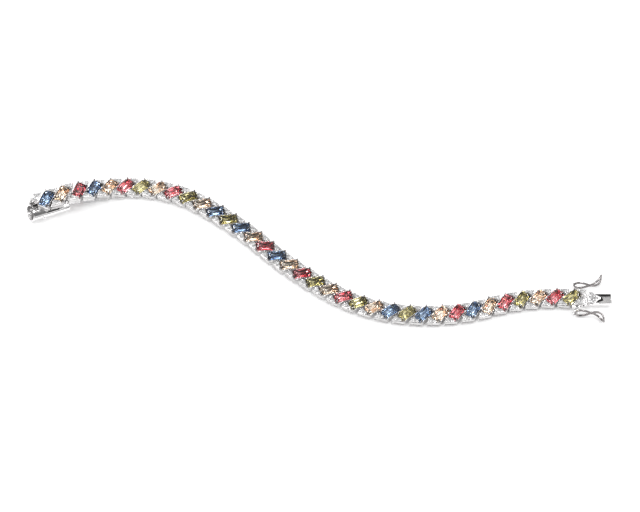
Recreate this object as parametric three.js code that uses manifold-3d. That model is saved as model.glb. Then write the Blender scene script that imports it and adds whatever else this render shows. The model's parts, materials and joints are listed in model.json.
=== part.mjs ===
// A gemstone tennis bracelet lying open in a long S on a flat surface, with its clasp undone.
// Millimetres and degrees, +Z up. X runs along the bracelet, from the box clasp to the tongue.
// Each link has its own frame: X along the strip, Y across it, Z up, with the stone over the origin.
import * as THREE from 'three';
import { ConvexGeometry } from 'three/addons/geometries/ConvexGeometry.js';
import { mergeVertices } from 'three/addons/utils/BufferGeometryUtils.js';
import Module from 'manifold-3d';

const { degToRad, lerp, mapLinear } = THREE.MathUtils;

// ---- driving dimensions ----

// The strip: links at an even pitch, and the metal between two links' long sides.
const PITCH = 4.9;
const STRIP_HALF_WIDTH = 2.85;
const LINK_GAP = 0.2;
const LINKS_PER_RUN = 6;

// A coloured stone: an octagon step cut that lies across the strip at a slant.
const STONE = {
  slant: 47, halfLength: 2.75, halfWidth: 1.62, corner: 0.7,
  tableHalfLength: 1.95, tableHalfWidth: 0.95, tableCorner: 0.42, tableZ: 2.9,
  girdleZ: 2.35,
  culetHalfLength: 1.3, culetHalfWidth: 0.3, culetCorner: 0.1, culetZ: 1.1,
};

// A link: an open gallery under the stone, four prongs, and a pad for the clear stones at each end.
const GALLERY = { top: 2.0, boreHalfLength: 2.52, boreHalfWidth: 1.39, boreCorner: 0.55, end: 2.9 };
const PRONG = { along: 2.65, across: 1.51, width: 0.34, bottom: 1.9, top: 2.7 };
const PAD = {
  start: 2.95, inner: -1.25, outer: 1.0, reach: 4.9, inset: 0.12, relief: 6,
  bottom: 1.9, top: 2.35,
};
const NECK = { halfLength: 1.2, halfWidth: 0.75, bottom: 0.3, top: 0.95, clearance: 0.25 };

// The box clasp: an oval tube with a slanted mouth and a window, under the first two stones.
const TUBE = {
  middleY: -0.5, halfWidth: 2.9, halfHeight: 1.95, sides: 16, wall: 0.45,
  mouthX: -5.5, mouthSlant: 22, closedX: 6.3, endWall: 1.0,
};
const WINDOW = { left: -4.3, right: -1.7, halfWidth: 1.4 };
const SHELF = {
  left: -5.0, right: -2.6, inner: 1.2, outer: 2.4, thickness: 0.4, bottom: 3.0, top: 5.65,
};
const PEG = { x: -2.1, across: 3.05, radius: 0.5 };

// The end assembly past the last stone: a pinned knuckle, the tongue and two safety catches.
const END_TURN = 3.5;
const END_DECK = { left: 1.6, right: 3.15, front: -1.7, back: 1.2, top: 0.5 };
const KNUCKLE = {
  x: 3.95, z: 1.0, radius: 0.75, boreRadius: 0.4, pinRadius: 0.3, sides: 10,
  middleHalfWidth: 0.75, sideInner: 0.87, sideOuter: 1.85, cheekLeft: 2.55, cheekHalfHeight: 0.6,
};
const ARM = { left: 4.5, right: 5.0, halfHeight: 0.5 };
const HEAD = {
  left: 4.88, shoulder: 6.3, tip: 7.6, halfWidth: 2.2, tipHalfWidth: 0.6, bottom: 1.8, top: 2.3,
};
const THUMB = {
  left: 5.4, shoulder: 6.6, tip: 8.4, halfWidth: 1.2, tipHalfWidth: 0.25, bottom: 2.0, top: 2.4,
};
const TRAY = {
  left: 4.88, right: 11.7, halfWidth: 1.8, bottom: 0.9, top: 1.9,
  pocketLeft: 7.7, floor: 1.25, wall: 0.35,
};
const CATCH = {
  hingeX: 0.9, across: 4.9, middleZ: 1.65, halfHeight: 1.3,
  waist: 4.7, bendRadius: 3.4, bendTurn: 86, tipRise: 0.4, ballRadius: 0.5,
  wireRadius: 0.3, wireSides: 6, pathPoints: 11, pathSteps: 12,
};
const EYE = { outerRadius: 0.9, boreRadius: 0.56, halfHeight: 0.3, sides: 8 };
const LUG = { footLeft: 0.9, footRight: 2.4, footAcross: 2.4, halfTip: 0.6, tipAcross: 4.4 };

// ---- how the bracelet lies ----

// The heading of the strip at some links, in degrees from +X; it turns evenly in between.
const HEADINGS = [
  { link: 1, heading: 21 },
  { link: 2, heading: 21 },
  { link: 3, heading: 24.5 },
  { link: 6, heading: 3 },
  { link: 11, heading: -33.5 },
  { link: 16, heading: -45 },
  { link: 21, heading: -34 },
  { link: 26, heading: -6 },
  { link: 31, heading: 18 },
  { link: 36, heading: -3.5 },
];

// The box clasp is taller than a link, so the first links come down from it in a short ramp.
const RAMP = [
  { link: 1, lift: 3.7, slope: 0 },
  { link: 2, lift: 3.7, slope: 0 },
  { link: 3, lift: 2.7, slope: 15.5 },
  { link: 4, lift: 1.5, slope: 12.5 },
  { link: 5, lift: 0.65, slope: 7.5 },
  { link: 6, lift: 0.23, slope: 3 },
];

const STONE_ORDER = [
  'blue', 'peach', 'red', 'blue', 'peach', 'red', 'green', 'peach', 'red', 'green', 'peach', 'blue',
  'green', 'blue', 'peach', 'red', 'blue', 'peach', 'red', 'green', 'peach', 'red', 'green', 'peach',
  'blue', 'green', 'blue', 'peach', 'red', 'blue', 'peach', 'red', 'green', 'peach', 'red', 'green',
];

const silver = { color: 0xd9dadd, roughness: 0.2, metalness: 1 };
const stoneFinish = {
  blue: { color: 0x5f80b8, roughness: 0.05, metalness: 0 },
  peach: { color: 0xe3b07e, roughness: 0.05, metalness: 0 },
  red: { color: 0xc2354a, roughness: 0.05, metalness: 0 },
  green: { color: 0x9c9a4b, roughness: 0.05, metalness: 0 },
};

// ---- solids ----

const WELD_DISTANCE = 1e-4;

const wasm = await Module();
wasm.setup();

function solidOf(geometry) {
  const bare = geometry.clone();
  bare.deleteAttribute('normal');
  bare.deleteAttribute('uv');
  const merged = mergeVertices(bare, WELD_DISTANCE);
  const mesh = new wasm.Mesh({
    numProp: 3,
    vertProperties: new Float32Array(merged.attributes.position.array),
    triVerts: new Uint32Array(merged.index.array),
  });
  return new wasm.Manifold(mesh);
}

function geometryOf(solid) {
  const mesh = solid.getMesh();
  const geometry = new THREE.BufferGeometry();
  geometry.setAttribute('position', new THREE.BufferAttribute(mesh.vertProperties, 3));
  geometry.setIndex(new THREE.BufferAttribute(mesh.triVerts, 1));
  geometry.computeVertexNormals();
  return geometry;
}

function joined(geometries) {
  return geometries.map(solidOf).reduce((whole, piece) => whole.add(piece));
}

function cutBy(solid, geometries) {
  return geometries.map(solidOf).reduce((whole, piece) => whole.subtract(piece), solid);
}

function block(left, right, front, back, bottom, top) {
  const geometry = new THREE.BoxGeometry(right - left, back - front, top - bottom);
  return geometry.translate((left + right) / 2, (front + back) / 2, (bottom + top) / 2);
}

function plate(outline, bottom, top, bore) {
  const shape = new THREE.Shape(outline);
  if (bore) shape.holes.push(new THREE.Path(bore));
  const geometry = new THREE.ExtrudeGeometry(shape, { depth: top - bottom, bevelEnabled: false });
  return geometry.translate(0, 0, bottom);
}

// A cylinder, or with a bore a ring, that stands on Z about its own middle.
function barrel(radius, height, sides, boreRadius = 0) {
  const profile = [
    new THREE.Vector2(boreRadius, -height / 2),
    new THREE.Vector2(radius, -height / 2),
    new THREE.Vector2(radius, height / 2),
    new THREE.Vector2(boreRadius, height / 2),
  ];
  if (boreRadius > 0) profile.push(profile[0].clone());
  return new THREE.LatheGeometry(profile, sides).rotateX(Math.PI / 2);
}

// An extrusion of a Y-Z outline along X.
function extrudedAlongX(outline, left, right) {
  const turn = new THREE.Matrix4().makeBasis(
    new THREE.Vector3(0, 1, 0),
    new THREE.Vector3(0, 0, 1),
    new THREE.Vector3(1, 0, 0),
  );
  return plate(outline, left, right).applyMatrix4(turn);
}

function octagon(halfLength, halfWidth, corner) {
  const quarter = [[halfLength, halfWidth - corner], [halfLength - corner, halfWidth]];
  const turned = quarter.map(([x, y]) => [-x, y]).reverse();
  const upper = [...quarter, ...turned];
  return [...upper, ...upper.map(([x, y]) => [-x, -y])].map(([x, y]) => new THREE.Vector2(x, y));
}

// ---- the frames of the links ----

// A point given along and across a slanted stone, in the link's X and Y.
function slanted(along, across) {
  return new THREE.Vector2(along, across).rotateAround(new THREE.Vector2(), degToRad(STONE.slant));
}

function headingAt(link) {
  const next = Math.max(1, HEADINGS.findIndex((row) => row.link >= link));
  const before = HEADINGS[next - 1];
  const after = HEADINGS[next];
  return degToRad(mapLinear(link, before.link, after.link, before.heading, after.heading));
}

function rampAt(link) {
  return RAMP.find((row) => row.link === link) ?? { lift: 0, slope: 0 };
}

function linkFrames(count) {
  const frames = [];
  const place = new THREE.Vector3();
  for (let link = 1; link <= count; link += 1) {
    const { lift, slope } = rampAt(link);
    if (link > 1) {
      const drop = rampAt(link - 1).lift - lift;
      const heading = lerp(headingAt(link - 1), headingAt(link), 0.5);
      const step = Math.sqrt(PITCH ** 2 - drop ** 2);
      place.x += step * Math.cos(heading);
      place.y += step * Math.sin(heading);
    }
    place.z = lift;
    const turn = new THREE.Euler(0, degToRad(slope), headingAt(link), 'ZYX');
    frames.push(new THREE.Matrix4().makeRotationFromEuler(turn).setPosition(place));
  }
  return frames;
}

// ---- stones and links ----

function stoneGeometry() {
  const rings = [
    [octagon(STONE.tableHalfLength, STONE.tableHalfWidth, STONE.tableCorner), STONE.tableZ],
    [octagon(STONE.halfLength, STONE.halfWidth, STONE.corner), STONE.girdleZ],
    [octagon(STONE.culetHalfLength, STONE.culetHalfWidth, STONE.culetCorner), STONE.culetZ],
  ];
  const points = rings.flatMap(([ring, z]) => ring.map(({ x, y }) => new THREE.Vector3(x, y, z)));
  return new ConvexGeometry(points).rotateZ(degToRad(STONE.slant));
}

// Half of a link's outline; the other half is the same, turned by 180 degrees.
function linkHalfOutline(withPad) {
  const slant = degToRad(STONE.slant);
  const side = (PITCH * Math.sin(slant) - LINK_GAP) / 2;
  const pivot = (PITCH * Math.cos(slant)) / 2;
  const padSide = side - (PAD.reach - pivot) * Math.tan(degToRad(PAD.relief));
  const padEdge = (STRIP_HALF_WIDTH - PAD.reach * Math.sin(slant)) / Math.cos(slant);
  const pad = [
    slanted(pivot, -side),
    slanted(PAD.reach, -padSide),
    slanted(PAD.reach, padEdge),
  ];
  const plainEnd = [slanted(PRONG.along, -side), slanted(GALLERY.end, -PRONG.across)];
  const corner = [slanted(GALLERY.end, PRONG.across), slanted(PRONG.along, side)];
  return [...(withPad ? pad : plainEnd), ...corner];
}

function padOutline() {
  const [, farSide, farEdge] = linkHalfOutline(true);
  return [
    slanted(PAD.start, PAD.inner),
    farSide.add(slanted(-PAD.inset, PAD.inset)),
    farEdge.add(slanted(-PAD.inset, -PAD.inset)),
    slanted(PAD.start, PAD.outer),
  ];
}

function rightPad() {
  return plate(padOutline(), PAD.bottom, PAD.top);
}

function leftPad() {
  return rightPad().rotateZ(Math.PI);
}

function prongs() {
  const half = PRONG.width / 2;
  const post = block(-half, half, -half, half, PRONG.bottom, PRONG.top).rotateZ(degToRad(STONE.slant));
  const signs = [[1, 1], [1, -1], [-1, 1], [-1, -1]];
  return signs.map(([along, across]) => {
    const { x, y } = slanted(along * PRONG.along, across * PRONG.across);
    return post.clone().translate(x, y, 0);
  });
}

function gallery(withLeftPad = true) {
  const right = linkHalfOutline(true);
  const left = linkHalfOutline(withLeftPad).map((point) => point.clone().negate());
  const { boreHalfLength, boreHalfWidth, boreCorner, top } = GALLERY;
  const bore = octagon(boreHalfLength, boreHalfWidth, boreCorner).map(({ x, y }) => slanted(x, y));
  return plate([...right, ...left], 0, top, bore);
}

function linkBody() {
  return geometryOf(joined([gallery(), rightPad(), leftPad(), ...prongs()]));
}

// The neck under the gap to the next link, or with a clearance the pocket that it needs there.
function neck(clearance = 0) {
  const halfLength = NECK.halfLength + clearance;
  const halfWidth = NECK.halfWidth + clearance;
  const middle = PITCH / 2;
  return block(
    middle - halfLength, middle + halfLength, -halfWidth, halfWidth,
    NECK.bottom - clearance, NECK.top + clearance,
  );
}

function placed(geometry, frame) {
  return geometry.clone().applyMatrix4(frame);
}

// Links first to last, counted from 1, as one solid, with a pocket for the neck before them.
function chainRun(frames, first, last) {
  const middleLink = geometryOf(joined([linkBody(), neck()]));
  const links = frames.slice(first - 1, last).map((frame, index) => {
    const isLast = first + index === frames.length;
    return placed(isLast ? lastLink() : middleLink, frame);
  });
  return cutBy(joined(links), [placed(neck(NECK.clearance), frames[first - 2])]);
}

// ---- the box clasp ----

function ovalOutline(halfWidth, halfHeight, middleZ) {
  const points = [];
  for (let corner = 0; corner < TUBE.sides; corner += 1) {
    const angle = ((corner + 0.5) / TUBE.sides) * 2 * Math.PI;
    points.push(new THREE.Vector2(halfWidth * Math.cos(angle), middleZ + halfHeight * Math.sin(angle)));
  }
  return points;
}

function tubeMiddleZ() {
  return TUBE.halfHeight * Math.cos(Math.PI / TUBE.sides);
}

// The oval tube, open at its slanted mouth and at the window on its top.
function openTube() {
  const middleZ = tubeMiddleZ();
  const blankLeft = TUBE.mouthX - TUBE.halfHeight;
  const outerOval = ovalOutline(TUBE.halfWidth, TUBE.halfHeight, middleZ);
  const boreOval = ovalOutline(TUBE.halfWidth - TUBE.wall, TUBE.halfHeight - TUBE.wall, middleZ);
  const outer = extrudedAlongX(outerOval, blankLeft, TUBE.closedX);
  const bore = extrudedAlongX(boreOval, blankLeft - TUBE.wall, TUBE.closedX - TUBE.endWall);
  const reach = 3 * TUBE.halfWidth;
  const mouthCut = block(-reach, 0, -reach, reach, -reach, reach);
  mouthCut.rotateY(degToRad(TUBE.mouthSlant)).translate(TUBE.mouthX, 0, middleZ);
  const window = block(WINDOW.left, WINDOW.right, -WINDOW.halfWidth, WINDOW.halfWidth, middleZ, reach);
  return cutBy(solidOf(outer), [bore, mouthCut, window]);
}

function shelf() {
  const { left, right, inner, outer, thickness, bottom, top } = SHELF;
  return [
    block(left, right, inner, outer, top - thickness, top),
    block(left, right, outer - thickness, outer, bottom, top),
  ];
}

function pegs() {
  const ball = new THREE.IcosahedronGeometry(PEG.radius);
  return [-1, 1].map((side) => ball.clone().translate(PEG.x, side * PEG.across, tubeMiddleZ()));
}

function claspBox() {
  const lift = rampAt(1).lift;
  const upperLeftPad = rightPad().translate(-PITCH, 0, 0);
  const firstSetting = joined([gallery(false), rightPad(), upperLeftPad, ...prongs()]);
  const secondSetting = joined([linkBody(), neck()]);
  return joined([
    geometryOf(joined([geometryOf(openTube()), ...shelf(), ...pegs()])).translate(0, TUBE.middleY, 0),
    geometryOf(firstSetting).translate(0, 0, lift),
    geometryOf(secondSetting).translate(PITCH, 0, lift),
  ]);
}

// ---- the end assembly ----

// The end assembly turns a little against the last link, about its knuckle.
function endTurn() {
  const turn = new THREE.Matrix4().makeTranslation(KNUCKLE.x, 0, 0);
  turn.multiply(new THREE.Matrix4().makeRotationZ(degToRad(END_TURN)));
  return turn.multiply(new THREE.Matrix4().makeTranslation(-KNUCKLE.x, 0, 0));
}

function knuckleBarrel(inner, outer, radius, boreRadius) {
  const geometry = barrel(radius, outer - inner, KNUCKLE.sides, boreRadius).rotateX(Math.PI / 2);
  return geometry.translate(KNUCKLE.x, (inner + outer) / 2, KNUCKLE.z);
}

function knuckleCheeks() {
  const { sideInner, sideOuter, radius, pinRadius, cheekLeft, cheekHalfHeight, x, z } = KNUCKLE;
  const cheeks = [-1, 1].flatMap((side) => {
    const [front, back] = [side * sideInner, side * sideOuter].sort((a, b) => a - b);
    return [
      knuckleBarrel(front, back, radius, 0),
      block(cheekLeft, x, front, back, z - cheekHalfHeight, z + cheekHalfHeight),
    ];
  });
  return [...cheeks, knuckleBarrel(-sideOuter, sideOuter, pinRadius, 0)];
}

// The eye that a safety catch swings in, and the lug that joins it to the link's side.
function catchLug(side) {
  const eye = barrel(EYE.outerRadius, 2 * EYE.halfHeight, EYE.sides, EYE.boreRadius);
  eye.translate(CATCH.hingeX, side * CATCH.across, CATCH.middleZ);
  const outline = [
    new THREE.Vector2(LUG.footLeft, side * LUG.footAcross),
    new THREE.Vector2(LUG.footRight, side * LUG.footAcross),
    new THREE.Vector2(CATCH.hingeX + LUG.halfTip, side * LUG.tipAcross),
    new THREE.Vector2(CATCH.hingeX - LUG.halfTip, side * LUG.tipAcross),
  ];
  return [eye, plate(outline, CATCH.middleZ - EYE.halfHeight, CATCH.middleZ + EYE.halfHeight)];
}

// The last link has one pad more at its square end, and carries the knuckle and the lugs.
function lastLink() {
  const { left, right, front, back, top } = END_DECK;
  const trim = solidOf(block(-PITCH, right, -PITCH, PITCH, -PITCH, PITCH));
  const endPad = plate(padOutline(), 0, PAD.top).rotateZ(Math.PI).translate(PITCH, 0, 0);
  const deck = block(left, right, front, back, 0, top);
  const body = joined([linkBody(), endPad, deck]).intersect(trim);
  const fittings = joined([...knuckleCheeks(), ...catchLug(-1), ...catchLug(1)]);
  return geometryOf(joined([geometryOf(body), placed(geometryOf(fittings), endTurn())]));
}

function claspTongue() {
  const arrow = ({ left, shoulder, tip, halfWidth, tipHalfWidth }) => [
    new THREE.Vector2(left, -halfWidth),
    new THREE.Vector2(shoulder, -halfWidth),
    new THREE.Vector2(tip, -tipHalfWidth),
    new THREE.Vector2(tip, tipHalfWidth),
    new THREE.Vector2(shoulder, halfWidth),
    new THREE.Vector2(left, halfWidth),
  ];
  const { middleHalfWidth, radius, boreRadius, z } = KNUCKLE;
  const solid = joined([
    knuckleBarrel(-middleHalfWidth, middleHalfWidth, radius, boreRadius),
    block(
      ARM.left, ARM.right, -middleHalfWidth, middleHalfWidth,
      z - ARM.halfHeight, z + ARM.halfHeight,
    ),
    plate(arrow(HEAD), HEAD.bottom, HEAD.top),
    plate(arrow(THUMB), THUMB.bottom, THUMB.top),
    block(TRAY.left, TRAY.right, -TRAY.halfWidth, TRAY.halfWidth, TRAY.bottom, TRAY.top),
  ]);
  const inner = TRAY.halfWidth - TRAY.wall;
  const pocketRight = TRAY.right - TRAY.wall;
  const pocket = block(TRAY.pocketLeft, pocketRight, -inner, inner, TRAY.floor, THUMB.bottom);
  return cutBy(solid, [pocket]);
}

// The upright sheet that a catch's wire runs in: straight past the hinge, then bending outward and up.
function catchPoint(distance, height, side) {
  const straight = Math.min(distance, CATCH.waist);
  const turn = Math.max(0, distance - CATCH.waist) / CATCH.bendRadius;
  const rise = (CATCH.tipRise * turn) / degToRad(CATCH.bendTurn);
  return new THREE.Vector3(
    CATCH.hingeX + straight + CATCH.bendRadius * Math.sin(turn),
    side * (CATCH.across + CATCH.bendRadius * (1 - Math.cos(turn))),
    CATCH.middleZ + rise + height,
  );
}

// One wire loop of the figure of eight, from the waist round its far end and back.
function wireLoop(farEnd, side) {
  const points = [];
  for (let step = 0; step < CATCH.pathPoints; step += 1) {
    const angle = mapLinear(step, 0, CATCH.pathPoints - 1, 0, 2 * Math.PI);
    const distance = lerp(CATCH.waist, farEnd, (1 - Math.cos(angle)) / 2);
    points.push(catchPoint(distance, CATCH.halfHeight * Math.sin(angle), side));
  }
  const section = [];
  for (let corner = 0; corner < CATCH.wireSides; corner += 1) {
    const turn = (corner / CATCH.wireSides) * 2 * Math.PI;
    section.push(new THREE.Vector2(CATCH.wireRadius, 0).rotateAround(new THREE.Vector2(), turn));
  }
  return new THREE.ExtrudeGeometry(new THREE.Shape(section), {
    steps: CATCH.pathSteps,
    bevelEnabled: false,
    extrudePath: new THREE.CatmullRomCurve3(points),
  });
}

function safetyCatch(side) {
  const tip = CATCH.waist + CATCH.bendRadius * degToRad(CATCH.bendTurn);
  const balls = [CATCH.waist, tip].map((distance) => {
    const { x, y, z } = catchPoint(distance, 0, side);
    return new THREE.IcosahedronGeometry(CATCH.ballRadius).translate(x, y, z);
  });
  return joined([wireLoop(0, side), wireLoop(tip, side), ...balls]);
}

// ---- the assembly ----

const bracelet = new THREE.Group();

function addPiece(name, geometry, finish, frame = new THREE.Matrix4()) {
  const mesh = new THREE.Mesh(geometry, new THREE.MeshStandardMaterial(finish));
  mesh.name = name;
  mesh.applyMatrix4(frame);
  bracelet.add(mesh);
}

const FIRST_CHAIN_LINK = 3;
const frames = linkFrames(STONE_ORDER.length);
const endFrame = frames.at(-1).clone().multiply(endTurn());

STONE_ORDER.forEach((colour, index) => {
  const name = `stone_${String(index + 1).padStart(2, '0')}`;
  addPiece(name, stoneGeometry(), stoneFinish[colour], frames[index]);
});

const boxFrame = frames[0].clone().setPosition(frames[0].elements[12], frames[0].elements[13], 0);
addPiece('clasp_box', geometryOf(claspBox()), silver, boxFrame);

const runs = Math.ceil((frames.length + 1 - FIRST_CHAIN_LINK) / LINKS_PER_RUN);
for (let run = 1; run <= runs; run += 1) {
  const first = FIRST_CHAIN_LINK + (run - 1) * LINKS_PER_RUN;
  const last = Math.min(first + LINKS_PER_RUN - 1, frames.length);
  addPiece(`chain_run_${run}`, geometryOf(chainRun(frames, first, last)), silver);
}

addPiece('clasp_tongue', geometryOf(claspTongue()), silver, endFrame);
addPiece('catch_front', geometryOf(safetyCatch(-1)), silver, endFrame);
addPiece('catch_back', geometryOf(safetyCatch(1)), silver, endFrame);

// The origin is under the middle of the bracelet's box, on the surface that it lies on.
const middle = new THREE.Box3().setFromObject(bracelet, true).getCenter(new THREE.Vector3());
bracelet.position.set(-middle.x, -middle.y, 0);

export default bracelet;
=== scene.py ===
# A gemstone tennis bracelet that lies open in a long S on a pale surface, with its clasp undone.
# Sizes are millimetres in the frame of one link: X along the strip, Y across it, Z up from the
# surface, with the coloured stone over the origin. Each part is made there and carried to its
# place.
import json
import math

import bmesh
import bpy
import numpy as np
from mathutils import Matrix, Vector


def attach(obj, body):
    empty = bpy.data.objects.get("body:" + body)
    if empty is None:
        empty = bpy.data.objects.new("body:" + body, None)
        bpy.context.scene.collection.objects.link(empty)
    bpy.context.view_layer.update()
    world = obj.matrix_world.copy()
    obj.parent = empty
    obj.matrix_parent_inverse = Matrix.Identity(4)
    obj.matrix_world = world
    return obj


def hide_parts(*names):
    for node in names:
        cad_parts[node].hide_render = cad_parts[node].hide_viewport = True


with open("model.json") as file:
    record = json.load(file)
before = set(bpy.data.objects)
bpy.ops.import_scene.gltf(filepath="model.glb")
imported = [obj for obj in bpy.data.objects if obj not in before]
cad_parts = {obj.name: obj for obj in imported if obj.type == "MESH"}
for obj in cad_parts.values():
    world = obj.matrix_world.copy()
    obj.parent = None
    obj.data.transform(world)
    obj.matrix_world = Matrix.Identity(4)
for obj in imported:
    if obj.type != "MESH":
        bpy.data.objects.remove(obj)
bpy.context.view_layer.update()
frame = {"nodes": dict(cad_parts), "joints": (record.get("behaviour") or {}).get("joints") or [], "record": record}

MM = 0.001
UP = Vector((0, 0, 1))

# ---- sizes of the parts ----

PITCH = 4.9
SLANT = math.radians(47)
STRIP_HALF_WIDTH = 2.85
LINK_SIDE = 1.69
STONE_TOP = 2.9
GIRDLE_BOTTOM = 2.31
FACET_POKE = 0.11

# A coloured stone: its outline, and the height and share of the outline at each ring of facets.
GEM_OUTLINE = {"half_length": 2.75, "half_width": 1.62, "corner": 0.65}
GEM_RINGS = [
    {"z": 1.08, "length": 0.45, "width": 0.03},
    {"z": 1.44, "length": 0.60, "width": 0.36},
    {"z": 1.86, "length": 0.78, "width": 0.68},
    {"z": GIRDLE_BOTTOM, "length": 0.995, "width": 0.995},
    {"z": 2.37, "length": 1.0, "width": 1.0},
    {"z": 2.64, "length": 0.91, "width": 0.86},
    {"z": 2.82, "length": 0.81, "width": 0.70},
    {"z": STONE_TOP, "length": 0.71, "width": 0.55},
]

# The clear stones at one end of a link, along and across the slanted stone.
CLEAR_STONES = [
    {"along": 3.66, "across": -0.92, "radius": 0.62},
    {"along": 3.19, "across": 0.25, "radius": 0.4},
]
CLEAR_RINGS = [
    {"z": -0.86, "share": 0.02},
    {"z": -0.04, "share": 0.99},
    {"z": 0.05, "share": 1.0},
    {"z": 0.34, "share": 0.58},
]
CLEAR_SIDES = 8
CLEAR_TURN = 0.2
CLEAR_GIRDLE_Z = 2.42

# How much painted shade each facet is drawn with, in place of the light and dark a cut stone throws back, and how
# much more painted shade falls toward a coloured stone's far end.
FACET_PAINTED_SHADE_RANGE = (-2.4, -1.2)
FAR_END_PAINTED_SHADE = 0.9
CHAIN_SEED = 100
TONGUE_SEED = 200
CLASP_SEED = 201

BODY_TOP = 2.0
BODY_ROUNDING = 0.16
BODY_DRILL_SHARE = 0.45
BODY_LEVELS = [
    {"z": 0.0, "share": 0.955},
    {"z": 0.14, "share": 1.0},
    {"z": 0.72, "share": 1.0},
    {"z": 0.80, "share": 0.968},
    {"z": 1.22, "share": 0.968},
    {"z": 1.30, "share": 1.0},
    {"z": 1.88, "share": 1.0},
    {"z": BODY_TOP, "share": 0.975},
]
PLAIN_END = {"cut_start": 2.65, "reach": 2.9, "half_width": 1.51}
BORE = {"half_length": 2.52, "half_width": 1.39, "corner": 0.55}
PAD = {
    "start": 2.9, "inner": -1.35, "outer": 1.0, "reach": 4.9, "inset": 0.06, "top": 2.34,
    "rounding": 0.18, "chamfer": 0.06, "top_share": 0.97, "drill_share": 0.94, "sink": 0.05,
}
PAD_RELIEF = math.radians(6)
RAIL = {"half_length": 2.0, "inner": 1.635, "outer": 1.715, "bottom": 1.9, "top": 2.46}
CLAW_RADIUS = 0.23
CLAW_TIP_RADIUS = CLAW_RADIUS * 0.6
CLAW_PATH = [
    {"out": 0.34, "z": 2.2},
    {"out": 0.34, "z": 2.4},
    {"out": 0.31, "z": 2.58},
    {"out": 0.15, "z": 2.8},
    {"out": -0.08, "z": 2.88},
    {"out": -0.26, "z": 2.86},
]
BEAD = {"radius": 0.15, "gap": 0.04, "rise": 0.1}
CLEAR_BEADS = [(-102, -37, 28, 93), (68, 143, 218)]
NECK = {
    "half_length": 1.1, "half_width": 0.72, "bottom": 0.3, "top": 0.95, "pin_radius": 0.34,
    "pin_past": 0.1,
}

# The end past the last stone: its deck and pad, the tongue and the safety catches.
END_DECK = {"outline": {"left": 1.6, "right": 3.15, "front": -1.7, "back": 1.2}, "top": 0.5}
END_PAD_OUTLINE = [(0.0, -2.72), (3.0, -2.72), (3.2, -2.4), (3.2, 0.35), (2.7, 0.1)]
END_PAD_STONES = [(2.3, -1.5, 0.7), (1.15, -2.2, 0.42)]
END_PAD_BEADS = [(35, 125, 215, 305), (100, 190, 290)]
KNUCKLE = {
    "x": 3.95, "z": 1.0, "radius": 0.75, "pin_radius": 0.3, "head_radius": 0.42,
    "head_height": 0.14, "left": 2.55, "half_height": 0.6, "middle_half_width": 0.75,
    "side_inner": 0.87, "side_outer": 1.85,
}
HEAD = {
    "left": 4.85, "hollow": 0.3, "shoulder": 6.3, "tip": 7.6, "half_width": 2.2,
    "tip_half_width": 0.6, "bottom": 1.8, "deck": 2.0, "arm_right": 5.05, "arm_half_height": 0.5,
}
HEAD_PAD_OUTLINE = [(5.0, 0), (5.2, -2.05), (6.25, -2.05), (7.3, -0.6), (7.3, 0.6), (6.25, 2.05),
                    (5.2, 2.05)]
HEAD_STONES = [(5.75, 1.2, 0.6), (5.72, -1.25, 0.6), (5.6, 0, 0.42), (6.6, 0.55, 0.42),
               (6.6, -0.55, 0.42)]
HEAD_BEADS = [(60, 150, 240, 330), (30, 120, 210, 300), (180,), (70, 345), (15, 290)]
THUMB = {"bottom": 2.0, "top": 2.36}
THUMB_OUTLINE = [(6.9, -0.95), (7.4, -1.0), (8.4, -0.25), (8.4, 0.25), (7.4, 1.0), (6.9, 0.95)]
TRAY = {
    "left": 4.88, "right": 11.7, "half_width": 1.8, "bottom": 0.9, "top": 1.9,
    "floor": 1.25, "wall": 0.35, "rounding": 0.09, "shadow_patch_bottom": 1.2, "shadow_patch_top": 1.28,
}
# The outline of a thin near-black patch on the tray floor by the thumb plate's tip, a painted shadow under it.
TRAY_SHADOW_PATCH_OUTLINE = [(7.75, -0.9), (9.3, -0.25), (9.0, 0.95), (7.75, 0.95)]
CATCH = {
    "hinge_x": 0.9, "across": 4.9, "middle_z": 1.65, "half_height": 1.3, "waist": 4.7,
    "bend_radius": 3.4, "bend_turn": 82, "tip_rise": 0.4, "wire": 0.32, "ball": 0.46,
    "tip_radius": 0.42, "tip_wire": 0.22, "steps": 97,
}
EYE = {"radius": 0.72, "wire": 0.16}
LUG = {
    "foot_left": 0.9, "foot_right": 2.4, "foot_across": 2.4, "half_tip": 0.6, "tip_across": 4.35,
    "half_height": 0.3,
}

# The box clasp, counted from the middle of its tube.
TUBE = {
    "middle_y": -0.5, "half_width": 2.9, "half_height": 1.91, "wall": 0.42, "mouth_x": -5.5,
    "mouth_slant": 22, "inner_share": 0.88, "inner_end": 5.8,
}
WINDOW = {"left": -4.3, "right": -1.7, "half_width": 1.45}
GROOVE = {"left": -0.9, "right": 2.9, "front": -2.45, "back": -2.1}
TUBE_STATIONS = [
    {"x": -6.6, "share": 1.0},
    {"x": WINDOW["left"], "share": 1.0},
    {"x": WINDOW["right"], "share": 1.0},
    {"x": GROOVE["left"], "share": 1.0},
    {"x": GROOVE["right"], "share": 1.0},
    {"x": 5.7, "share": 1.0},
    {"x": 6.08, "share": 0.96},
    {"x": 6.24, "share": 0.88},
    {"x": 6.3, "share": 0.75},
]
SHELF = {
    "outline": {"left": -5.0, "right": -2.6, "front": 1.2, "back": 2.4},
    "thickness": 0.4, "bottom": 3.0, "top": 5.65,
}
PEG = {"x": -2.1, "across": 3.05, "radius": 0.5}


# ---- working in a mesh ----

def slanted(along, across):
    """A point along and across a slanted stone, in the link's X and Y."""
    cos, sin = math.cos(SLANT), math.sin(SLANT)
    return Vector((along * cos - across * sin, along * sin + across * cos, 0))


def octagon(half_length, half_width, corner):
    """The outline of a rectangle with its corners cut off, counted round from +X."""
    quarter = [(half_length, half_width - corner), (half_length - corner, half_width)]
    upper = quarter + [(-x, y) for x, y in reversed(quarter)]
    return upper + [(-x, -y) for x, y in upper]


def made_of(result, kind):
    return [item for item in result["geom"] if isinstance(item, kind)]


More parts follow.
